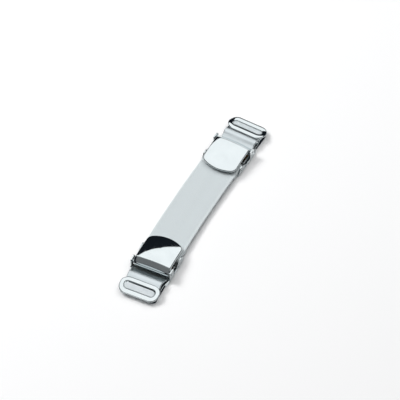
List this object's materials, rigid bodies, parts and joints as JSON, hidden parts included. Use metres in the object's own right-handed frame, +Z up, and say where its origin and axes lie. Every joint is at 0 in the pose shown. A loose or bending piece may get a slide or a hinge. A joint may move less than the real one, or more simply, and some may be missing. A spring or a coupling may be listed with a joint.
{
  "type": "shirt sleeve holder",
  "caption": "Short white elastic strap with a chromed lever clip at each end, worn on the arm to hold a shirt sleeve at its length.",
  "frame": {"origin": "on the surface that the holder lies on, under the middle of its whole outline", "axes": "+Y along the strap, from the near clip to the far clip; +X across it; +Z up"},
  "size_m": [0.0224, 0.1242, 0.0079],
  "materials": {
    "elastic": "white knitted elastic webbing",
    "chrome": "bright chrome plate on stamped steel",
    "bronze": "dull bronze spring leaf",
    "pad": "pale translucent plastic with fine ribs"
  },
  "bodies": {
    "root": {"elastic_strap": "elastic", "clip_base_near": "chrome", "grip_pad_near": "pad", "hinge_pin_near": "chrome", "strap_bar_near": "chrome", "clip_base_far": "chrome", "grip_pad_far": "pad", "hinge_pin_far": "chrome", "strap_bar_far": "chrome"},
    "jaw_near": {"upper_jaw_near": "chrome", "leaf_spring_near": "bronze"},
    "jaw_far": {"upper_jaw_far": "chrome", "leaf_spring_far": "bronze"},
    "cover_near": {"lever_cover_near": "chrome"},
    "cover_far": {"lever_cover_far": "chrome"}
  },
  "joints": [
    {"name": "cover_lift_near", "type": "hinge", "parent": "root", "child": "cover_near", "pos_m": [-0.00003, -0.04372, 0.0046], "axis": [0.999, 0.0454, 0], "range_deg": [0, 110]},
    {"name": "cover_lift_far", "type": "hinge", "parent": "root", "child": "cover_far", "pos_m": [-0.00004, 0.04377, 0.0046], "axis": [-0.9992, 0.0401, 0], "range_deg": [0, 110]},
    {"name": "jaw_open_near", "type": "hinge", "parent": "root", "child": "jaw_near", "pos_m": [-0.00037, -0.03633, 0.0016], "axis": [-0.999, -0.0454, 0], "range_deg": [0, 6.9]},
    {"name": "jaw_open_far", "type": "hinge", "parent": "root", "child": "jaw_far", "pos_m": [-0.00034, 0.03638, 0.0016], "axis": [0.9992, -0.0401, 0], "range_deg": [0, 6.9]}
  ],
  "couplings": [
    {"joint": "jaw_open_near", "follows": "cover_lift_near", "ratio": 0.0627},
    {"joint": "jaw_open_far", "follows": "cover_lift_far", "ratio": 0.0627}
  ]
}
